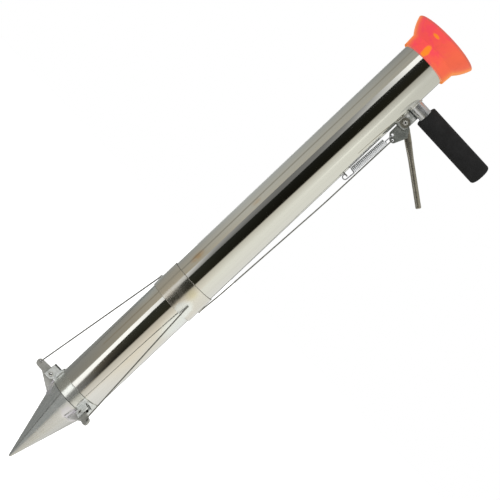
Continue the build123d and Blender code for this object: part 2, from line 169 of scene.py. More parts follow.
def finish_of(name, **plain):
    """New material with its principled shader; plain values go straight on the shader's sockets."""
    material = bpy.data.materials.new(name)
    material.use_nodes = True
    tree = material.node_tree
    shader = tree.nodes["Principled BSDF"]
    for title, value in plain.items():
        shader.inputs[title.replace("_", " ")].default_value = value
    place = tree.nodes.new("ShaderNodeTexCoord").outputs["Object"]
    return material, tree, shader, place


def cover(tree, shader, colour, rough, height, strength, depth, normal=None, **more):
    """Gives a finish's shader its colour, its roughness and the bump of its grain."""
    bump = put(tree, "Bump", {"Height": height, "Strength": strength, "Distance": depth})
    if normal is not None:
        tree.links.new(normal, bump.inputs["Normal"])
    more.update(Base_Color=colour, Roughness=rough, Normal=bump.outputs[0])
    for title, value in more.items():
        tree.links.new(value, shader.inputs[title.replace("_", " ")])


def give(finish, *names):
    """A finish for parts of the frame."""
    for name in names:
        slots = parts[name].data.materials
        slots.clear()
        slots.append(finish)


# Effects that several finishes share

def make_polishing_lines():
    """Fine lines left by a polishing belt along the third direction of Place, with broader bands."""
    tree, given, made = effect(
        "polishing_lines",
        [("Place", "Vector", None), ("Across", "Float", 1500.0), ("Along", "Float", 8.0)],
        [("Lines", "Float"), ("Bands", "Float")],
    )
    stretch = put(tree, "CombineXYZ", {0: given["Across"], 1: given["Across"], 2: given["Along"]})
    fine = vectors(tree, "MULTIPLY", given["Place"], stretch.outputs[0])
    broad = vectors(tree, "MULTIPLY", fine, (0.12, 0.12, 0.3))
    tree.links.new(noise(tree, fine, 1.0, 4.0, 0.65), made["Lines"])
    tree.links.new(noise(tree, broad, 1.0, 2.0), made["Bands"])
    return tree


def make_hand_marks():
    """Cloudy marks of handling and dried water; a higher Cover leaves more of them."""
    tree, given, made = effect(
        "hand_marks",
        [("Place", "Vector", None), ("Size", "Float", 30.0), ("Cover", "Float", 0.4)],
        [("Mask", "Float")],
    )
    cloud = noise(tree, given["Place"], given["Size"], 5.0, 0.6, 0.6)
    start = maths(tree, "SUBTRACT", 0.78, times(tree, given["Cover"], 0.5))
    tree.links.new(spread(tree, cloud, start, maths(tree, "ADD", start, 0.2)), made["Mask"])
    return tree


def make_scratches():
    """Thin scattered scratches in two slanting directions."""
    tree, given, made = effect(
        "scratches",
        [("Place", "Vector", None), ("Scale", "Float", 60.0)],
        [("Mask", "Float")],
    )
    found = []
    for turn, stretch in (((0.3, 0.2, 0.5), (6.0, 6.0, 0.35)), ((-0.5, 0.4, -0.3), (5.0, 5.0, 0.5))):
        turned = put(tree, "Mapping", {"Vector": given["Place"], "Rotation": turn, "Scale": stretch})
        cells = put(tree, "TexVoronoi", {"Vector": turned.outputs[0], "Scale": given["Scale"]},
                    feature="DISTANCE_TO_EDGE")
        line = spread(tree, cells.outputs["Distance"], 0.0, 0.02, 1.0, 0.0)
        gaps = noise(tree, turned.outputs[0], 25.0, 2.0)
        found.append(times(tree, line, spread(tree, gaps, 0.52, 0.66)))
    tree.links.new(maths(tree, "MAXIMUM", *found), made["Mask"])
    return tree


def make_rounded_edges():
    """Normal that rounds the sharp edges, and a mask of the strip along them, used for rubbed wear and
    painted highlight.
    """
    tree, given, made = effect(
        "rounded_edges",
        [("Radius", "Float", 0.0004)],
        [("Normal", "Vector"), ("Mask", "Float")],
    )
    soft = put(tree, "Bevel", {"Radius": given["Radius"]}, samples=6).outputs[0]
    flat = tree.nodes.new("ShaderNodeNewGeometry").outputs["Normal"]
    near = vectors(tree, "DOT_PRODUCT", soft, flat)
    tree.links.new(soft, made["Normal"])
    tree.links.new(spread(tree, near, 0.82, 0.995, 1.0, 0.0), made["Mask"])
    return tree


def make_heat_tint():
    """Straw, violet and blue rings that welding leaves round a point, with a broken outline."""
    tree, given, made = effect(
        "heat_tint",
        [("Place", "Vector", None), ("Centre", "Vector", None), ("Reach", "Float", 0.012)],
        [("Mask", "Float"), ("Color", "Color")],
    )
    away = vectors(tree, "DISTANCE", given["Place"], given["Centre"])
    wander = raised(tree, 0.55, noise(tree, given["Place"], 160.0, 3.0), 0.9)
    share = maths(tree, "DIVIDE", away, times(tree, given["Reach"], wander))
    ramp = put(tree, "ValToRGB", {"Fac": share})
    rings = ramp.color_ramp.elements
    rings[0].color = (0.90, 0.88, 0.93, 1)
    rings[1].color = (0.82, 0.80, 0.77, 1)
    for position, colour in ((0.35, (0.86, 0.82, 0.92, 1)), (0.6, (0.80, 0.74, 0.84, 1)),
                             (0.8, (0.84, 0.78, 0.74, 1))):
        rings.new(position).color = colour
    tree.links.new(spread(tree, share, 0.55, 1.0, 1.0, 0.0), made["Mask"])
    tree.links.new(ramp.outputs["Color"], made["Color"])
    return tree


polishing_lines = make_polishing_lines()
hand_marks = make_hand_marks()
scratches = make_scratches()
rounded_edges = make_rounded_edges()
heat_tint = make_heat_tint()


# Finishes

def barrel_steel():
    """Mirror-polished tube: lengthwise lines, a hazy foot, straw marks, handling and a dull bore."""
    finish, tree, shader, place = finish_of("barrel_steel", Metallic=1.0)
    lines = use(tree, polishing_lines, Place=place, Across=2200.0, Along=5.0)
    marks = use(tree, hand_marks, Place=place, Size=22.0, Cover=0.35)
    nicks = use(tree, scratches, Place=place, Scale=45.0)
    stain = use(tree, hand_marks, Place=place, Size=120.0, Cover=0.9)
    rough = raised(tree, 0.05, lines["Bands"], 0.05)
    rough = maths(tree, "ADD", rough, spread(tree, sides(tree, place)[2], 0.15, 0.23, 0.08, 0.0))
    rough = raised(tree, rough, marks["Mask"], 0.03)
    rough = raised(tree, rough, nicks["Mask"], 0.05)
    colour = tint(tree, lines["Bands"], (0.80, 0.79, 0.765), (0.87, 0.865, 0.84))
    straw_marks = (((-0.0264, -0.0273, 0.4310), 0.0085, 0.70), ((-0.0255, -0.0282, 0.5530), 0.0060, 0.35))
    for centre, reach, share in straw_marks:
        near = spread(tree, away_from(tree, place, centre, 0.45), reach * 0.15, reach, share, 0.0)
        mask = times(tree, near, raised(tree, 0.5, stain["Mask"], 0.5))
        colour = tint(tree, mask, colour, (0.80, 0.54, 0.29))
    patch_turn, patch_z = 0.22, 0.335
    for angle in jaw_angles.values():
        centre = round_at(barrel_radius, radians(angle) + patch_turn, patch_z)
        patch = spread(tree, away_from(tree, place, centre, 0.55), 0.008, 0.024, 0.9, 0.0)
        rough = raised(tree, rough, patch, 0.15)
        colour = tint(tree, patch, colour, (0.92, 0.965, 0.985))
    bore = spread(tree, from_axis(tree, place), barrel_radius - 0.0008, barrel_radius - 0.0004, 1.0, 0.0)
    rough = raised(tree, rough, bore, 0.40)
    colour = tint(tree, bore, colour, (0.66, 0.65, 0.62))
    metal = spread(tree, bore, 0.0, 1.0, 1.0, 0.45)
    cover(tree, shader, colour, rough, lines["Lines"], 0.05, 0.0001, Metallic=metal)
    return finish


def sleeve_steel():
    """Polished sleeve, dulled by rubbing: dark rims, a straw mark and a ground patch at each wire's end."""
    finish, tree, shader, place = finish_of("sleeve_steel", Metallic=1.0)
    lines = use(tree, polishing_lines, Place=place, Across=1200.0, Along=6.0)
    marks = use(tree, hand_marks, Place=place, Size=40.0, Cover=0.45)
    edge = use(tree, rounded_edges, Radius=0.0004)
    height = sides(tree, place)[2]
    rough = raised(tree, 0.15, lines["Bands"], 0.06)
    rough = raised(tree, rough, marks["Mask"], 0.03)
    colour = tint(tree, marks["Mask"], (0.82, 0.80, 0.76), (0.77, 0.735, 0.67))
    straw_mark, rubbed_spot = (0.0085, -0.0388, 0.385), (-0.0075, -0.0389, 0.361)
    straw = spread(tree, away_from(tree, place, straw_mark), 0.002, 0.015, 0.45, 0.0)
    colour = tint(tree, straw, colour, (0.76, 0.70, 0.44))
    rubbed = spread(tree, away_from(tree, place, rubbed_spot, 0.8), 0.005, 0.026, 1.0, 0.0)
    rubbed = times(tree, rubbed, spread(tree, noise(tree, place, 75.0, 2.0), 0.30, 0.70, 0.35, 1.0))
    rough = raised(tree, rough, rubbed, 0.11)
    colour = tint(tree, times(tree, rubbed, 0.5), colour, (0.88, 0.78, 0.66))
    rims = maths(tree, "MAXIMUM", spread(tree, height, sleeve_top_z - 0.0009, sleeve_top_z - 0.0005),
                 spread(tree, height, sleeve_foot_z + 0.0003, sleeve_foot_z + 0.0007, 0.8, 0.0))
    rough = raised(tree, rough, rims, 0.5)
    colour = tint(tree, rims, colour, (0.30, 0.285, 0.26))
    cloud = noise(tree, place, 140.0, 3.0)
    patch_out, patch_z = 0.0405, 0.3560
    for angle in jaw_angles.values():
        centre = round_at(patch_out, radians(angle) - wire_seat_turn, patch_z)
        away = raised(tree, away_from(tree, place, centre, 0.75), cloud, 0.006)
        patch = spread(tree, away, 0.013, 0.021, 0.9, 0.0)
        rough = raised(tree, rough, patch, 0.28)
        colour = tint(tree, patch, colour, (0.92, 0.955, 0.965))
    cover(tree, shader, colour, rough, lines["Lines"], 0.08, 0.0001, edge["Normal"])
    return finish


def collar_steel():
    """Satin band round the foot, brushed round about, with a dark line along its upper edge that is partly
    grime and partly painted contact shadow at the step.
    """
    finish, tree, shader, place = finish_of("collar_steel", Metallic=1.0)
    turned = put(tree, "Mapping", {"Vector": place, "Rotation": (0, radians(90), 0)})
    lines = use(tree, polishing_lines, Place=turned.outputs[0], Across=1500.0, Along=60.0)
    marks = use(tree, hand_marks, Place=place, Size=90.0, Cover=0.6)
    edge = use(tree, rounded_edges, Radius=0.0005)
    rough = raised(tree, 0.20, marks["Mask"], 0.08)
    colour = tint(tree, marks["Mask"], (0.86, 0.88, 0.86), (0.76, 0.78, 0.76))
    # Dark line along the upper edge: partly grime, partly painted contact shadow where the collar steps out
    # from the barrel
    seam = spread(tree, sides(tree, place)[2], collar_top_z - 0.0008, collar_top_z - 0.0004)
    seam = times(tree, seam, spread(tree, marks["Mask"], 0.1, 0.7, 0.35, 0.95))
    rough = raised(tree, rough, seam, 0.4)
    colour = tint(tree, seam, colour, (0.22, 0.22, 0.20))
    cover(tree, shader, colour, rough, lines["Lines"], 0.10, 0.00015, edge["Normal"])
    return finish


def jaw_steel():
    """Satin jaws: lines that run to the point, dull marks from soil, and heat tint round the lever's foot,
    laid over a spot first lightened as a painted highlight.
    """
    finish, tree, shader, place = finish_of("jaw_steel", Metallic=1.0)
    x, y, z = sides(tree, place)
    around = times(tree, maths(tree, "ARCTAN2", y, x), 0.03)
    spoke = put(tree, "CombineXYZ", {0: around, 1: 0.0, 2: z}).outputs[0]
    lines = use(tree, polishing_lines, Place=spoke, Across=2600.0, Along=14.0)
    marks = use(tree, hand_marks, Place=place, Size=55.0, Cover=0.7)
    nicks = use(tree, scratches, Place=place, Scale=70.0)
    edge = use(tree, rounded_edges, Radius=0.0004)
    rough = raised(tree, 0.18, lines["Bands"], 0.12)
    rough = raised(tree, rough, marks["Mask"], 0.08)
    colour = tint(tree, lines["Bands"], (0.68, 0.675, 0.65), (0.87, 0.865, 0.845))
    colour = tint(tree, times(tree, nicks["Mask"], 0.5), colour, (0.9, 0.9, 0.88))
    foot_out, foot_turn, foot_z = 0.0345, 0.22, 0.121
    for angle in jaw_angles.values():
        for side in (-1, 1):
            centre = round_at(foot_out, radians(angle) + side * foot_turn, foot_z)
            burnt_and_highlight = use(tree, heat_tint, Place=place, Centre=centre, Reach=0.015)
            # Round the lever's foot: first lightened as a painted highlight, then heat tint laid over it
            colour = tint(tree, burnt_and_highlight["Mask"], colour, (0.97, 0.965, 0.96))
            colour = tint(tree, times(tree, burnt_and_highlight["Mask"], 0.4), colour, burnt_and_highlight["Color"])
            rough = raised(tree, rough, burnt_and_highlight["Mask"], 0.12)
    cover(tree, shader, colour, rough, lines["Lines"], 0.10, 0.0001, edge["Normal"])
    return finish


def lever_lit_tail_and_foot(tree, place, colour):
    """Painted light and weld tint: the lower tail painted paler as if lit, and a whitish violet foot on the
    cone that is partly heat tint from welding and partly painted highlight.
    """
    height = sides(tree, place)[2]
    cone = raised(tree, barrel_radius - cone_height * cone_slope, height, cone_slope)
    foot = spread(tree, maths(tree, "SUBTRACT", from_axis(tree, place), cone), 0.0014, 0.0024, 1.0, 0.0)
    # Painted light: lower down, the tail is painted paler as if lit
    colour = tint(tree, spread(tree, height, 0.116, 0.138, 0.8, 0.0), colour, (0.80, 0.80, 0.79))
    # Foot on the cone: whitish violet, partly weld heat tint, partly painted highlight
    return tint(tree, foot, colour, (0.88, 0.85, 0.91))


def bore_shade_of(angle, out, height):
    """Painted shade in a rivet's bore."""
    def paint(tree, place, colour):
        # The bore is painted near black as the shade inside the hole
        bore = spread(tree, from_pivot(tree, place, angle, out, height), 0.0015, 0.0023, 0.97, 0.0)
        return tint(tree, bore, colour, (0.02, 0.018, 0.015))

    return paint


def ear_gap_shade(tree, place, colour):
    """Painted shade on the ears: near black on their inner faces above the rivet, where the gap round the
    lever lies in shade, and dark along their upper edges.
    """
    height = sides(tree, place)[2]
    ear_shade_out, ear_shade_z = 0.0530, 0.1455
    for angle in jaw_angles.values():
        outward = round_at(1, radians(angle), 0)
        across = vectors(tree, "DOT_PRODUCT", place, (-outward.y, outward.x, 0))
        out = vectors(tree, "DOT_PRODUCT", place, outward)
        # Painted shade: the inner faces near the lever go near black
        inner = spread(tree, maths(tree, "ABSOLUTE", across), 0.0024, 0.0027, 1.0, 0.0)
        near = spread(tree, from_pivot(tree, place, angle, ear_shade_out, ear_shade_z), 0.0030, 0.0045, 1.0, 0.0)
        near = times(tree, near, maths(tree, "GREATER_THAN", out, 0.02))
        colour = tint(tree, times(tree, inner, near), colour, (0.015, 0.015, 0.013))
        # Upper edge faces painted dark as shade
        dark_top_edge = spread(tree, height, 0.1519, 0.1527, 0.0, 0.9)
        dark_top_edge = times(tree, dark_top_edge, maths(tree, "GREATER_THAN", out, 0.0425))
        colour = tint(tree, dark_top_edge, colour, (0.07, 0.073, 0.068))
    return colour


def channel_marks_and_light(tree, place, colour):
    """Brown ring round the trigger's pivot, a pale square and a pale spot that are painted reflections, and a
    dark line of painted shade in the gap by the handle.
    """
    def apart(value, middle):
        return maths(tree, "ABSOLUTE", maths(tree, "SUBTRACT", value, middle))

    x, _, z = sides(tree, place)
    ring = spread(tree, from_pivot(tree, place, 0, trigger_out, trigger_z), 0.0074, 0.0090, 0.9, 0.0)
    colour = tint(tree, ring, colour, (0.165, 0.152, 0.118))
    # Painted reflections: a pale square and a pale spot
    square = maths(tree, "MAXIMUM", apart(x, 0.0503), apart(z, 0.8143))
    square = spread(tree, square, 0.0018, 0.0030, 0.7, 0.0)
    corner = spread(tree, from_pivot(tree, place, 0, 0.0408, 0.8120), 0.0014, 0.0036, 1.0, 0.0)
    colour = tint(tree, maths(tree, "MAXIMUM", square, corner), colour, (0.93, 0.94, 0.92))
    # Painted shade in the gap between the bracket's top and the handle tube
    line = spread(tree, apart(z, 0.8192), 0.0007, 0.0015, 0.95, 0.0)
    return tint(tree, line, colour, (0.035, 0.037, 0.033))


def plated_steel(name, dark, light, roughness, edge_wear_and_highlight, metallic=1.0, paint=None):
    """Zinc-plated sheet: a fine mottle, scratches, and edges lightened partly as rubbed wear and partly as
    painted highlight.
    """
    finish, tree, shader, place = finish_of(name, Metallic=metallic)
    mottle = put(tree, "TexVoronoi", {"Vector": place, "Scale": 900.0}).outputs["Color"]
    cloud = use(tree, hand_marks, Place=place, Size=120.0, Cover=0.8)
    nicks = use(tree, scratches, Place=place, Scale=110.0)
    edge = use(tree, rounded_edges, Radius=0.00045)
    grey = put(tree, "SeparateColor", {0: mottle}).outputs[0]
    share = raised(tree, times(tree, cloud["Mask"], 0.45), grey, 0.55)
    colour = tint(tree, share, dark, light)
    if paint:
        colour = paint(tree, place, colour)
    # Edges and scratches lightened: the edges partly rubbed wear, partly painted highlight
    bright = maths(tree, "MAXIMUM", times(tree, edge["Mask"], edge_wear_and_highlight), times(tree, nicks["Mask"], 0.5))
    colour = tint(tree, bright, colour, (0.86, 0.86, 0.84))
    cover(tree, shader, colour, raised(tree, roughness, share, 0.12), grey, 0.12, 0.0002, edge["Normal"])
    return finish


def drawn_steel(name, dark, light, roughness, turn=0, metallic=1.0, grain=0.08):
    """Drawn wire, rod and tube: lines along its length, turned from upright, with cloudy darkening."""
    finish, tree, shader, place = finish_of(name, Metallic=metallic)
    turned = put(tree, "Mapping", {"Vector": place, "Rotation": (0, radians(turn), 0)})
    lines = use(tree, polishing_lines, Place=turned.outputs[0], Across=2500.0, Along=30.0)
    marks = use(tree, hand_marks, Place=place, Size=150.0, Cover=0.8)
    share = raised(tree, times(tree, marks["Mask"], 0.4), lines["Bands"], 0.6)
    rough = raised(tree, roughness, marks["Mask"], 0.05)
    cover(tree, shader, tint(tree, share, dark, light), rough, lines["Lines"], grain, 0.0001)
    return finish


def spring_zinc():
    """Zinc-plated spring: pale turns, painted shade between them and on the inside of the coil, greyer at the
    loop and the hook.
    """
    finish, tree, shader, place = finish_of("spring_zinc", Metallic=0.2)
    own = put(tree, "Mapping", {"Vector": place, "Location": spring_foot, "Rotation": (0, spring_lean, 0)},
              vector_type="TEXTURE").outputs[0]
    x, y, z = sides(tree, own)
    climb = raised(tree, -spring_phase, z, 2 * pi / spring_pitch)
    crest = maths(tree, "COSINE", maths(tree, "SUBTRACT", climb, maths(tree, "ARCTAN2", y, x)))
    marks = use(tree, hand_marks, Place=place, Size=150.0, Cover=0.8)
    # Painted shade between the turns and on the inner side of the coil
    turn_gap_shade = maths(tree, "MAXIMUM", spread(tree, crest, -0.3, 0.5, 1.0, 0.0),
                   spread(tree, from_axis(tree, own), 0.0040, 0.0047, 1.0, 0.0))
    colour = tint(tree, turn_gap_shade, (0.68, 0.70, 0.71), (0.25, 0.26, 0.265))
    blur = 0.0006
    ends = maths(tree, "MAXIMUM", spread(tree, z, coil_low - blur, coil_low + blur, 1.0, 0.0),
                 spread(tree, z, coil_high - blur, coil_high + blur))
    colour = tint(tree, ends, colour, (0.27, 0.275, 0.28))
    cover(tree, shader, colour, raised(tree, 0.34, marks["Mask"], 0.08), marks["Mask"], 0.04, 0.0001)
    return finish


def weld_steel():
    """Weld metal: bright ripples, dark between them, with straw and blue tints."""
    finish, tree, shader, place = finish_of("weld_steel", Metallic=1.0)
    cloud = noise(tree, place, 420.0, 4.0, 0.6)
    broad = noise(tree, place, 130.0, 2.0)
    colour = tint(tree, spread(tree, cloud, 0.35, 0.65), (0.50, 0.50, 0.49), (0.84, 0.84, 0.82))
    colour = tint(tree, spread(tree, broad, 0.56, 0.70, 0.0, 0.6), colour, (0.62, 0.54, 0.60))
    cover(tree, shader, colour, raised(tree, 0.20, cloud, 0.25), cloud, 0.3, 0.0003)
    return finish


def funnel_plastic():
    """Moulded fluorescent plastic with a glow that is partly its fluorescence and partly painted light
    evening out the shading; coral towards the right as painted warmer light and pinker patches to the left,
    two orange painted highlights, a painted orange glow along the sides, and duller along the trimmed rims.
    """
    # The emission glow is partly fluorescence, partly painted light that evens out the shading
    finish, tree, shader, place = finish_of(
        "funnel_plastic", IOR=1.5, Specular_IOR_Level=0.2, Specular_Tint=(1.0, 0.5, 0.05, 1),
        Sheen_Weight=0.3, Sheen_Roughness=0.2, Sheen_Tint=(1.0, 0.34, 0.0, 1), Emission_Strength=0.60)
    x, _, z = sides(tree, place)
    cloud = noise(tree, place, 26.0, 2.0, distortion=0.8)
    patch = noise(tree, place, 60.0, 1.0, distortion=1.2)
    grain = noise(tree, place, 1800.0, 2.0)
    marks = use(tree, hand_marks, Place=place, Size=45.0, Cover=0.5)
    # Painted light: coral towards the right side as if lit by warmer light, pinker patches to the left
    side = raised(tree, x, cloud, 0.04)
    colour = tint(tree, spread(tree, side, -0.005, 0.045), (0.98, 0.094, 0.094), (0.95, 0.148, 0.080))
    pink = times(tree, spread(tree, patch, 0.45, 0.70), spread(tree, x, -0.01, 0.025, 0.7, 0.0))
    colour = tint(tree, pink, colour, (0.96, 0.072, 0.118))
    rims = maths(tree, "MAXIMUM", spread(tree, z, 0.9266, 0.9284, 0.0, 0.5),
                 spread(tree, z, 0.8850, 0.8885, 0.22, 0.0))
    colour = tint(tree, rims, colour, (0.52, 0.16, 0.12))
    # Painted rim glow: orange along the two sides that turn away from the front
    around = maths(tree, "ABSOLUTE", vectors(tree, "DOT_PRODUCT", place, (-0.087, -0.996, 0)))
    silhouette_glow = spread(tree, raised(tree, around, cloud, 0.006), 0.010, 0.031, 1.0, 0.0)
    silhouette_glow = times(tree, silhouette_glow, spread(tree, x, -0.05, 0.05, 0.8, 1.0))
    colour = tint(tree, silhouette_glow, colour, (1.0, 0.285, 0.030))
    # Two orange painted highlights, one on the collar and one on the bowl
    painted_highlights = (((-0.0150, -0.0398, 0.8935), 0.50, 0.0060), ((-0.0213, -0.0482, 0.9177), 2.6, 0.0064))
    for centre, squash, reach in painted_highlights:
        ragged = raised(tree, away_from(tree, place, centre, squash), patch, reach * 0.6)
        highlight_mask = spread(tree, ragged, reach * 0.95, reach * 1.4, 0.9, 0.0)
        colour = tint(tree, highlight_mask, colour, (1.0, 0.29, 0.022))
    deep = tint(tree, raised(tree, 0.60, marks["Mask"], 0.06), colour, (0.0, 0.0, 0.0))
    rough = raised(tree, 0.28, marks["Mask"], 0.10)
    cover(tree, shader, deep, rough, grain, 0.06, 0.0003, Emission_Color=colour)
    return finish


def grip_foam():
    """Black moulded foam: fine closed cells, a skin rubbed slightly grey and dust in the pores."""
    finish, tree, shader, place = finish_of(
        "grip_foam", Specular_IOR_Level=0.12, Sheen_Weight=0.03, Sheen_Roughness=0.6,
        Sheen_Tint=(0.5, 0.5, 0.5, 1))
    cells = put(tree, "TexVoronoi", {"Vector": place, "Scale": 950.0}).outputs["Distance"]
    pores = put(tree, "TexVoronoi", {"Vector": place, "Scale": 420.0}).outputs["Distance"]
    cloud = noise(tree, place, 55.0, 4.0, 0.6)
    pits = spread(tree, pores, 0.05, 0.35)
    colour = tint(tree, spread(tree, cloud, 0.35, 0.7), (0.0118, 0.0118, 0.0120), (0.0175, 0.0175, 0.0178))
    colour = tint(tree, pits, (0.008, 0.008, 0.008), colour)
    rough = raised(tree, 0.68, cloud, 0.2)
    cover(tree, shader, colour, rough, raised(tree, pits, cells, 0.6), 0.22, 0.0003)
    return finish


# Pieces

def placed(bm, name, finish):
    """Object in the scene, from a mesh that is already in place."""
    mesh = bpy.data.meshes.new(name)
    bm.to_mesh(mesh)
    bm.free()
    mesh.materials.append(finish)
    made = bpy.data.objects.new(name, mesh)
    bpy.context.scene.collection.objects.link(made)
    return made


def piece(bm, name, finish, body, merge=True):
    """Smooth piece that rides on a body of the frame."""
    if merge:
        bmesh.ops.remove_doubles(bm, verts=bm.verts, dist=same_spot)
        bmesh.ops.recalc_face_normals(bm, faces=bm.faces)
    for face in bm.faces:
        face.smooth = True
    made = placed(bm, name, finish)
    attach(made, body)
    return made


def edges_at(verts):
    return list(dict.fromkeys(e for v in verts for e in v.link_edges))


def ends_of(edges):
    return list(dict.fromkeys(v for e in edges for v in e.verts))


def whole_turn(bm, geom, steps):
    """Full spin about the first axis, with its seam and poles closed."""
    bmesh.ops.spin(bm, geom=geom, cent=(0, 0, 0), axis=(1, 0, 0), angle=2 * pi, steps=steps, use_merge=True)
    bmesh.ops.remove_doubles(bm, verts=bm.verts, dist=same_spot)


def foam_grip(finish):
    """Foam sleeve on the handle: open towards the barrel, closed and rounded at the outer end."""
    bm = bmesh.new()
    outline = ((grip_floor, 0), (grip_floor, grip_bore), (grip_start, grip_bore), (grip_start, grip_radius),
               (grip_end, grip_radius), (grip_end, 0))
    corners = [bm.verts.new((x, 0, r)) for x, r in outline]
    whole_turn(bm, corners + [bm.edges.new(pair) for pair in zip(corners, corners[1:])], 96)

    def rim(x, radius):
        return [e for e in bm.edges if all(
            abs(v.co.x - x) < same_spot and abs(hypot(v.co.y, v.co.z) - radius) < same_spot for v in e.verts)]

    for x, radius, size in ((grip_end, grip_radius, 0.0048), (grip_start, grip_radius, 0.0024),
                            (grip_start, grip_bore, 0.0008)):
        bmesh.ops.bevel(bm, geom=rim(x, radius), offset=size, offset_type="OFFSET", affect="EDGES",
                        segments=6, profile=0.5, material=-1)
    bmesh.ops.translate(bm, verts=bm.verts, vec=(0, 0, handle_z))
    made = piece(bm, "foam_grip", finish, "barrel")
    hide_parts("handle_grip")
    made.visible_glossy = False


def coil_spring(finish):
    """Return spring, one wire: a loop round the tab, a shank, the coil, and a hook through the plate."""
    wire, bend, hook_bend = 0.00092, 0.0012, 0.0016
    loop, coil = 0.00386, 0.00452
    turns, turn_steps = 24.9, 20
    bent = radians(84)
    shank_z, inner_rise, hook_z, hook_y = 0.01392, 0.00012, 0.0948, 0.00625
    bm = bmesh.new()
    start = bmesh.ops.create_circle(bm, segments=12, radius=wire)["verts"]
    bmesh.ops.translate(bm, verts=start, vec=(loop, 0, 0))
    ring = edges_at(start)

    def turn(ring, centre, axis, angle, steps, rise=0.0):
        last = bmesh.ops.spin(bm, geom=ring + ends_of(ring), cent=centre, axis=axis, angle=angle, steps=steps,
                              dvec=(0, 0, rise))["geom_last"]
        return [g for g in last if isinstance(g, bmesh.types.BMEdge)]

    def reach(ring, way):
        old = set(ends_of(ring))
        made = bmesh.ops.extrude_edge_only(bm, edges=ring)["geom"]
        bmesh.ops.translate(bm, verts=[g for g in made if isinstance(g, bmesh.types.BMVert)], vec=way)
        return [g for g in made if isinstance(g, bmesh.types.BMEdge) and not old.intersection(g.verts)]

    def middle(ring):
        verts = ends_of(ring)
        return sum((v.co for v in verts), Vector()) / len(verts)

    loop_end = turn(ring, (0, 0, 0), (0, 1, 0), radians(255), 32)
    shank = reach(ring, (coil - loop, 0, shank_z))
    low = turn(shank, (coil, bend, shank_z), (-1, 0, 0), bent, 6)
    steps = int(turns * turn_steps)
    top = turn(low, (0, 0, 0), (0, 0, 1), 2 * pi * turns, steps, spring_pitch * turns / steps)
    at = middle(top)
    out = Vector((at.x, at.y, 0)).normalized()
    inset = (coil ** 2 + bend ** 2) / (2 * coil)
    sweep = pi - acos(coil / inset - 1)
    inner = turn(top, out * inset + Vector((0, 0, at.z)), (0, 0, 1), sweep, 10, inner_rise)
    at = middle(inner)
    ahead = Vector((-at.x, -at.y, 0)).normalized()
    upright = turn(inner, at + Vector((0, 0, bend)), ahead.cross(Vector((0, 0, 1))), bent, 6)
    neck = reach(upright, (0, 0, hook_z - middle(upright).z))
    hook = turn(neck, middle(neck) + Vector((0, hook_bend, 0)), (-1, 0, 0), radians(90), 6)
    hook_end = reach(hook, (0, hook_y - middle(hook).y, 0))
    for rim in (loop_end, hook_end):
        bmesh.ops.contextual_create(bm, geom=rim)
    bm.transform(Matrix.Translation(spring_foot) @ Matrix.Rotation(spring_lean, 4, "Y"))
    made = piece(bm, "coil_spring", finish, "spring")
    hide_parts("return_spring")


def bead(bm, place, length, radius, ripples):
    """Short weld bead with ripples, its length along the third axis of the place."""
    shape = bmesh.new()
    bmesh.ops.create_cone(shape, cap_ends=True, segments=10, radius1=radius, radius2=radius, depth=length)
    uprights = [e for e in shape.edges if abs(e.verts[0].co.z - e.verts[1].co.z) > length / 2]
    bmesh.ops.subdivide_edges(shape, edges=uprights, cuts=ripples * 4, use_grid_fill=True)
    for v in shape.verts:
        run = 2 * v.co.z / length
        taper = sqrt(max(0.0, 1 - 0.8 * run ** 4))
        ripple = 1 + 0.14 * abs(sin(run * ripples * pi / 2))
        v.co.x *= taper * ripple
        v.co.y *= taper * ripple
    shape.transform(place)
    mesh = bpy.data.meshes.new("bead")
    shape.to_mesh(mesh)
    shape.free()
    bm.from_mesh(mesh)
    bpy.data.meshes.remove(mesh)


def along(point, way):
    """Place whose third axis runs along a direction."""
    return Matrix.Translation(point) @ Vector(way).to_track_quat("Z", "Y").to_matrix().to_4x4()


def handle_weld(finish):
    """Rippled bead where the handle tube meets the barrel, following the barrel's round."""
    bead_radius, proud = 0.0017, 0.0002
    bm = bmesh.new()
    start = bmesh.ops.create_circle(bm, segments=12, radius=bead_radius)["verts"]
    bmesh.ops.rotate(bm, verts=start, cent=(0, 0, 0), matrix=Matrix.Rotation(radians(90), 3, "X"))
    bmesh.ops.translate(bm, verts=start, vec=(0, 0, handle_radius + proud))
    whole_turn(bm, start + edges_at(start), 120)
    bmesh.ops.recalc_face_normals(bm, faces=bm.faces)
    bm.normal_update()
    for v in bm.verts:
        around = atan2(v.co.y, v.co.z)
        v.co += v.normal * (0.00022 * abs(sin(13 * around)) + 0.00015 * sin(3 * around + 1))
    for v in bm.verts:
        v.co.x += sqrt(barrel_radius ** 2 - v.co.y ** 2) + proud
        v.co.z += handle_z
    piece(bm, "handle_weld", finish, "barrel", merge=False)


def barrel_welds(finish):
    """Beads at the hinge brackets' feet, beside the trigger bracket and on both legs of the spring's tab."""
    bm = bmesh.new()
    upright, proud = (0, 0, 1), 0.0001
    foot_turn, foot_z = 0.232, 0.1478
    for angle in jaw_angles.values():
        for side in (-1, 1):
            spot = round_at(collar_radius * 1.008, radians(angle) + side * foot_turn, foot_z)
            bead(bm, along(spot, upright), 0.013, 0.0009, 7)
    for side in (-1, 1):
        y = side * 0.0078
        x = sqrt(barrel_radius ** 2 - y ** 2)
        bead(bm, along((x + proud, y, 0.806), upright), 0.022, 0.0010, 10)
        bead(bm, along((0.0470, side * 0.0070, 0.8228), (1, 0, 0)), 0.014, 0.0010, 7)
    for y in (-0.00875, -0.00175):
        x = sqrt(barrel_radius ** 2 - y ** 2)
        for z in (tab_z - 0.0009, tab_z + 0.0009):
            bead(bm, along((x + proud, y, z), (-y, x, 0)), 0.0031, 0.0006, 2)
    piece(bm, "barrel_welds", finish, "barrel")


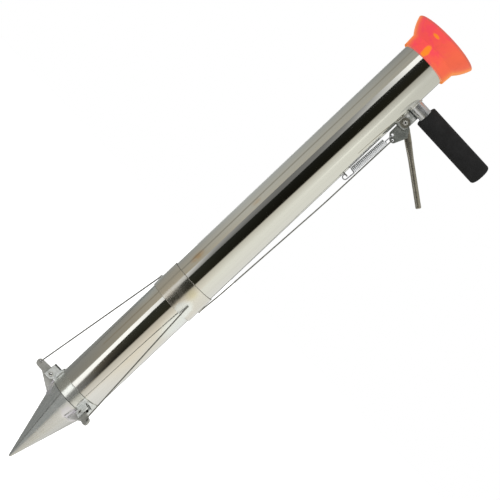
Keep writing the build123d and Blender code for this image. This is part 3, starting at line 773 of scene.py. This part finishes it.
def jaw_welds(finish):
    """Beads round the foot of each jaw's lever."""
    def on_cone(proud, y, z):
        return Vector((barrel_radius - (cone_height - z) * cone_slope + proud, y, z))

    up_cone = (cone_slope, 0, 1)
    for name, angle in jaw_angles.items():
        bm = bmesh.new()
        turn = Matrix.Rotation(radians(angle), 4, "Z")
        for side in (-1, 1):
            bead(bm, turn @ along(on_cone(-0.0003, side * 0.0066, 0.1225), up_cone), 0.017, 0.0008, 8)
            bead(bm, turn @ along(on_cone(0.0012, side * 0.0019, 0.1215), up_cone), 0.012, 0.0008, 6)
        bead(bm, turn @ along(on_cone(0.0002, 0, 0.1129), (0, 1, 0)), 0.0125, 0.0009, 6)
        piece(bm, "jaw_weld_" + name, finish, "jaw_" + name)


def sleeve_welds(finish):
    """Tacks that hold the ends of the wires to the sleeve."""
    tack_out, tack_radius = 0.0400, 0.0013
    bm = bmesh.new()
    for angle in jaw_angles.values():
        spot = round_at(tack_out, radians(angle) - wire_seat_turn, 0.3650)
        bead(bm, along(spot, (0, 0, 1)), 0.0085, tack_radius, 3)
    bead(bm, along((tack_out, 0.00125, 0.3735), (0, 0, 1)), 0.0095, tack_radius, 3)
    piece(bm, "sleeve_welds", finish, "slider")


# Studio

tent_foot, tent_top = -0.30, 1.60
floor_z = -0.45


def card(name, lower, upper, *tones):
    """Curved card round the planter that only shows in shiny surfaces.

    Each edge is its radius, its height and the two azimuths that it runs between. The four tones are at the
    ends of the lower edge, then of the upper one.
    """
    low_first, low_last, high_first, high_last = (Vector(end) for end in tones)
    bm = bmesh.new()
    bmesh.ops.create_grid(bm, x_segments=24, y_segments=8, size=0.5)
    layer = bm.verts.layers.float_color.new("tone")
    for v in bm.verts:
        across, up = v.co.x + 0.5, v.co.y + 0.5
        radius, height, first, last = (a + (b - a) * up for a, b in zip(lower, upper))
        v.co = round_at(radius, radians(first + (last - first) * across), height)
        v[layer] = (*low_first.lerp(low_last, across).lerp(high_first.lerp(high_last, across), up), 1)
    material = bpy.data.materials.new(name)
    material.use_nodes = True
    tree = material.node_tree
    tree.nodes.remove(tree.nodes["Principled BSDF"])
    colour = put(tree, "Attribute", attribute_name="tone")
    glow = put(tree, "Emission", {"Color": colour.outputs["Color"], "Strength": 1.0})
    tree.links.new(glow.outputs[0], tree.nodes["Material Output"].inputs["Surface"])
    made = placed(bm, name, material)
    made.visible_camera = made.visible_diffuse = made.visible_shadow = False
    made.visible_transmission = made.visible_volume_scatter = False


def wall(name, radius, *edges):
    """Cards one above the other: each edge is its height, its two azimuths, and one tone or its ends' two."""
    for number, (low, high) in enumerate(zip(edges, edges[1:])):
        card(f"{name}_{number}", (radius, *low[:3]), (radius, *high[:3]), low[3], low[-1], high[3], high[-1])


def ground(name, first, last, *edges):
    """Cards one outside the other, between two azimuths: each edge is its radius, and one tone or two."""
    for number, (near, far) in enumerate(zip(edges, edges[1:])):
        card(f"{name}_{number}", (near[0], tent_foot, first, last), (far[0], tent_foot, first, last),
             near[1], near[-1], far[1], far[-1])


def tone(green, blue):
    """Hue of a card: how green and blue follow from its level of red."""
    return lambda level: (level, green * level, blue * level)


cool, pale, cream, warm = tone(1.05, 1.03), tone(1.0, 0.96), tone(1.0, 0.89), tone(0.96, 0.81)
peach, sand, soot, olive = tone(0.92, 0.76), tone(0.89, 0.67), tone(0.92, 0.52), tone(1.08, 0.80)


def reflections():
    """Light tent that the steel mirrors: a dark flag in front, a strip light, grey and cream walls."""
    wall("left_wall", 0.90,
         (tent_foot, 106, 222, cool(0.17), warm(0.20)), (0.00, 106, 222, cool(0.225), warm(0.25)),
         (0.16, 106, 222, cool(0.25), sand(0.345)), (0.22, 106, 222, cool(0.25), sand(0.40)),
         (0.34, 106, 222, cool(0.305), sand(0.415)), (0.52, 106, 222, cool(0.42), warm(0.49)),
         (0.90, 106, 222, cool(0.315), warm(0.435)), (1.00, 106, 222, cool(0.25), warm(0.40)),
         (tent_top, 106, 222, cool(0.14), warm(0.33)))
    wall("left_seam", 0.895,
         (0.08, 178, 185, sand(0.25)), (0.22, 178, 185, sand(0.26)), (0.34, 177, 185, warm(0.27)),
         (0.60, 174, 182, warm(0.31)), (tent_top, 172, 180, warm(0.27)))
    wall("left_seam_high", 0.895, (0.70, 203, 209, warm(0.46)), (tent_top, 203, 209, warm(0.30)))
    wall("strip", 0.89,
         (tent_foot, 219, 264, pale(1.18)), (0.03, 219.5, 250, pale(1.18)), (0.155, 216, 242, pale(1.18)),
         (0.20, 215.5, 240, pale(1.08), pale(1.04)), (0.345, 215.5, 239, pale(0.66), pale(0.26)),
         (0.41, 215.5, 239, pale(0.38), pale(0.15)), (0.49, 215.5, 240, pale(0.27), pale(0.13)),
         (0.60, 216, 242, pale(0.17), pale(0.155)), (0.72, 216, 243, pale(0.17), pale(0.21)),
         (0.80, 216, 243, pale(0.22), pale(0.34)), (0.88, 217, 243, pale(0.36), pale(0.58)),
         (0.945, 219, 244, pale(0.72), pale(0.68)), (1.00, 220, 245, pale(1.12), pale(1.10)),
         (tent_top, 220, 245, pale(1.15)))
    wall("flag", 0.88,
         (tent_foot, 258, 274, pale(0.30)), (-0.06, 245, 274, pale(0.25)),
         (-0.01, 245, 275, pale(0.20), pale(0.14)), (0.03, 240.5, 276, sand(0.150), sand(0.035)),
         (0.084, 237, 275.5, sand(0.070), sand(0.012)), (0.155, 235, 276, olive(0.032), soot(0.015)),
         (0.22, 233, 275.8, olive(0.028), soot(0.026)), (0.345, 235.5, 278.7, olive(0.023), soot(0.017)),
         (0.41, 235.5, 279.8, olive(0.016), soot(0.012)), (0.50, 237.3, 281.4, olive(0.014), soot(0.008)),
         (0.60, 239.3, 283.2, olive(0.009), soot(0.006)), (0.89, 240.6, 288.3, olive(0.009), soot(0.012)),
         (1.00, 242.6, 289.2, olive(0.012), soot(0.018)), (tent_top, 244, 297.5, olive(0.012), soot(0.018)))
    wall("flag_edge", 0.885,
         (tent_foot, 273, 281, pale(0.28), peach(0.58)), (0.03, 275.6, 281.8, soot(0.03), peach(0.55)),
         (0.084, 275.2, 281.2, soot(0.01), peach(0.54)), (0.155, 275.6, 281.2, soot(0.01), peach(0.54)),
         (0.22, 275.3, 280.4, soot(0.01), peach(0.53)), (0.345, 278.1, 282.8, soot(0.01), warm(0.52)),
         (0.89, 288.0, 292.8, soot(0.01), warm(0.44)), (1.00, 289.0, 293.8, soot(0.01), warm(0.40)),
         (tent_top, 297.0, 302.0, soot(0.01), warm(0.35)))
    wall("right_edge", 0.905,
         (tent_foot, 277, 318, pale(0.62), pale(0.90)), (0.20, 279, 318, peach(0.53), peach(0.84)),
         (0.41, 281, 318, warm(0.56), cream(0.83)), (0.80, 286, 320, warm(0.53), cream(0.75)),
         (0.89, 288, 322, warm(0.43), cream(0.68)), (1.00, 289, 322, warm(0.40), cream(0.60)),
         (tent_top, 296, 324, warm(0.34), cream(0.50)))
    wall("right_wall", 0.90,
         (tent_foot, 316, 420, pale(0.66), pale(0.45)), (-0.14, 316, 420, pale(0.80), pale(0.50)),
         (-0.02, 316, 420, pale(0.86), pale(0.75)), (0.10, 316, 420, peach(0.84), pale(0.82)),
         (0.34, 316, 420, cream(0.82), pale(0.80)), (0.80, 318, 420, cream(0.77)),
         (0.89, 320, 420, cream(0.69)), (1.00, 320, 420, cream(0.62)), (tent_top, 322, 420, cream(0.50)))
    wall("right_glint", 0.885,
         (0.62, 321, 325, cream(0.80)), (0.78, 320, 326, cream(0.93)), (0.93, 319, 327, cream(0.80)),
         (1.00, 319, 327, cream(0.60)))
    wall("back_flag", 0.895,
         (tent_foot, 60, 100, pale(0.30), pale(0.05)), (tent_top, 60, 100, pale(0.30), pale(0.05)))
    wall("back_strip", 0.895, (tent_foot, 100, 107, pale(1.15)), (tent_top, 100, 107, pale(0.75)))

    ground("floor_left", 100, 215, (0.01, cool(0.26)), (0.89, cool(0.26)))
    ground("floor_middle", 215, 265, (0.01, cool(0.30), cool(0.32)), (0.89, cool(0.30), cool(0.32)))
    ground("floor_right", 265, 320,
           (0.01, pale(0.41), pale(0.60)), (0.33, pale(0.41), pale(0.60)), (0.365, warm(0.415), warm(0.60)),
           (0.395, peach(0.50), warm(0.57)), (0.425, peach(0.58), peach(0.59)),
           (0.455, warm(0.56), peach(0.62)), (0.48, pale(0.82), pale(0.70)), (0.50, pale(0.84), pale(0.78)),
           (0.53, pale(0.85), pale(0.92)), (0.56, pale(0.86), pale(1.00)), (0.89, pale(0.86), pale(1.00)))
    ground("floor_back", 320, 460,
           (0.01, pale(0.60), pale(0.62)), (0.50, warm(0.62), pale(0.62)), (0.56, pale(0.80), pale(0.62)),
           (0.60, pale(0.82), pale(0.64)), (0.89, pale(0.66)))
    card("ceiling", (0.01, tent_top, 0, 360), (0.90, tent_top, 0, 360), *[pale(0.45)] * 4)


def white_air():
    """World that is white where it is seen or mirrored, and half as bright as a light."""
    world = bpy.data.worlds.new("studio_air")
    bpy.context.scene.world = world
    world.use_nodes = True
    tree = world.node_tree
    rays = tree.nodes.new("ShaderNodeLightPath").outputs
    mirrored = maths(tree, "MAXIMUM", rays["Is Glossy Ray"], rays["Is Transmission Ray"])
    seen = maths(tree, "MAXIMUM", rays["Is Camera Ray"], mirrored)
    back = tree.nodes["Background"]
    back.inputs["Color"].default_value = (1, 1, 1, 1)
    tree.links.new(spread(tree, seen, 0.0, 1.0, 0.50, 1.0), back.inputs["Strength"])


def pale_floor():
    """Wide floor that fades to white, is white in mirrors, and is clear when seen from below."""
    material, tree, shader, place = finish_of(
        "pale_floor", Base_Color=(0.8, 0.8, 0.8, 1), Roughness=0.9, Specular_IOR_Level=0.0,
        Emission_Color=(1, 1, 1, 1))
    rays = tree.nodes.new("ShaderNodeLightPath").outputs
    away = vectors(tree, "DISTANCE", place, (0, 0, floor_z))
    level = times(tree, rays["Is Camera Ray"], spread(tree, away, 0.5, 1.5, 0.30, 1.0))
    tree.links.new(level, shader.inputs["Emission Strength"])
    white = put(tree, "Emission", {"Color": (1, 1, 1, 1), "Strength": 1.0})
    mirrored = maths(tree, "MAXIMUM", rays["Is Glossy Ray"], rays["Is Transmission Ray"])
    mix = put(tree, "MixShader", {0: mirrored, 1: shader.outputs[0], 2: white.outputs[0]})
    clear = tree.nodes.new("ShaderNodeBsdfTransparent")
    under = tree.nodes.new("ShaderNodeNewGeometry").outputs["Backfacing"]
    sheet = put(tree, "MixShader", {0: under, 1: mix.outputs[0], 2: clear.outputs[0]})
    tree.links.new(sheet.outputs[0], tree.nodes["Material Output"].inputs["Surface"])
    bm = bmesh.new()
    bmesh.ops.create_grid(bm, x_segments=1, y_segments=1, size=14.0)
    bmesh.ops.translate(bm, verts=bm.verts, vec=(0, 0, floor_z))
    floor = placed(bm, "floor", material)


def lamps():
    """Three soft lamps that point at the barrel's middle."""
    aim = Vector((0, 0, 0.55))
    for name, spot, size, power in (
        ("key_lamp", (-1.0, -1.9, 1.9), 0.9, 26.0),
        ("fill_lamp", (1.9, -1.5, 0.9), 1.4, 15.0),
        ("back_lamp", (0.4, 2.0, 1.8), 1.4, 16.0),
    ):
        light = bpy.data.lights.new(name, "AREA")
        light.size = size
        light.energy = power
        lamp = bpy.data.objects.new(name, light)
        bpy.context.scene.collection.objects.link(lamp)
        lamp.matrix_world = along(spot, Vector(spot) - aim)
        lamp.visible_camera = False


def camera():
    """Camera at the photograph's angle, turned about its own axis, with the lens that was fitted to it."""
    azimuth, height, roll = radians(-5.992), radians(2.043), radians(46.616)
    beside, middle_z, distance = 0.024394, 0.494212, 1.916862
    sensor, focal_pixels, frame_pixels = 36.0, 1240.19, 500
    back = Vector((sin(azimuth) * cos(height), -cos(azimuth) * cos(height), sin(height)))
    right = Vector((cos(azimuth), sin(azimuth), 0))
    up = back.cross(right)
    across = cos(roll) * right + sin(roll) * up
    upward = -sin(roll) * right + cos(roll) * up
    spot = Vector((0, 0, middle_z)) + right * beside + back * distance
    lens = bpy.data.cameras.new("camera")
    lens.sensor_width = sensor
    lens.lens = sensor * focal_pixels / frame_pixels
    lens.clip_start, lens.clip_end = 0.01, 100
    held = bpy.data.objects.new("camera", lens)
    held.matrix_world = Matrix.Translation(spot) @ Matrix((across, upward, back)).transposed().to_4x4()
    bpy.context.scene.collection.objects.link(held)
    bpy.context.scene.camera = held


# Putting it together

weld = weld_steel()
wire_steel = drawn_steel("wire_steel", (0.22, 0.22, 0.21), (0.36, 0.36, 0.345), 0.30)
rod_steel = drawn_steel("rod_steel", (0.36, 0.335, 0.28), (0.46, 0.43, 0.365), 0.22,
                        turn=56.2, metallic=0.9, grain=0.0)
handle_steel = drawn_steel("handle_steel", (0.58, 0.585, 0.60), (0.72, 0.725, 0.74), 0.22,
                           turn=90, metallic=0.86, grain=0.02)
# The levers' darker tone is painted shade, as they lie between the brackets' ears
shaded_lever_zinc = plated_steel("shaded_lever_zinc", (0.36, 0.36, 0.335), (0.50, 0.50, 0.475), 0.36, 0.5, 0.7, lever_lit_tail_and_foot)
bracket_zinc = plated_steel("bracket_zinc", (0.70, 0.725, 0.71), (0.90, 0.92, 0.91), 0.36, 0.3, 0.6,
                            ear_gap_shade)
channel_zinc = plated_steel("channel_zinc", (0.34, 0.355, 0.34), (0.50, 0.515, 0.495), 0.30, 0.6, 0.75,
                            channel_marks_and_light)
plate_zinc = plated_steel("plate_zinc", (0.17, 0.182, 0.168), (0.24, 0.252, 0.235), 0.34, 0.7, 0.7)
tab_steel = plated_steel("tab_steel", (0.10, 0.10, 0.095), (0.22, 0.22, 0.21), 0.30, 0.6, 0.9)
bush_steel = plated_steel("bush_steel", (0.40, 0.38, 0.34), (0.60, 0.57, 0.51), 0.26, 0.7)

give(barrel_steel(), "barrel_tube")
give(sleeve_steel(), "slider_sleeve")
give(collar_steel(), "hinge_collar")
give(jaw_steel(), *("jaw_shell_" + n for n in jaw_angles))
give(shaded_lever_zinc, *("jaw_lever_" + n for n in jaw_angles))
give(bracket_zinc, *("hinge_bracket_" + n for n in jaw_angles))
give(tab_steel, "spring_tab")
give(channel_zinc, "trigger_bracket")
give(bush_steel, "trigger_bush")
for rivet, angle, out, height in (
    *(("hinge_rivet_" + n, angle, hinge_out, hinge_z) for n, angle in jaw_angles.items()),
    ("trigger_rivet", 0, trigger_out, trigger_z),
):
    rivet_zinc = plated_steel(rivet, (0.60, 0.60, 0.57), (0.80, 0.80, 0.77), 0.24, 0.8, 0.8,
                              bore_shade_of(angle, out, height))
    give(rivet_zinc, rivet)
give(wire_steel, *("jaw_wire_" + n for n in jaw_angles), "trigger_wire")
give(plate_zinc, "trigger_plate")
give(rod_steel, "trigger_rod")
give(handle_steel, "handle_tube")
give(funnel_plastic(), "mouth_funnel")

foam_grip(grip_foam())
coil_spring(spring_zinc())
handle_weld(weld)
barrel_welds(weld)
jaw_welds(weld)
sleeve_welds(weld)

bpy.context.scene.view_settings.view_transform = "Standard"
reflections()
white_air()
pale_floor()
lamps()
camera()
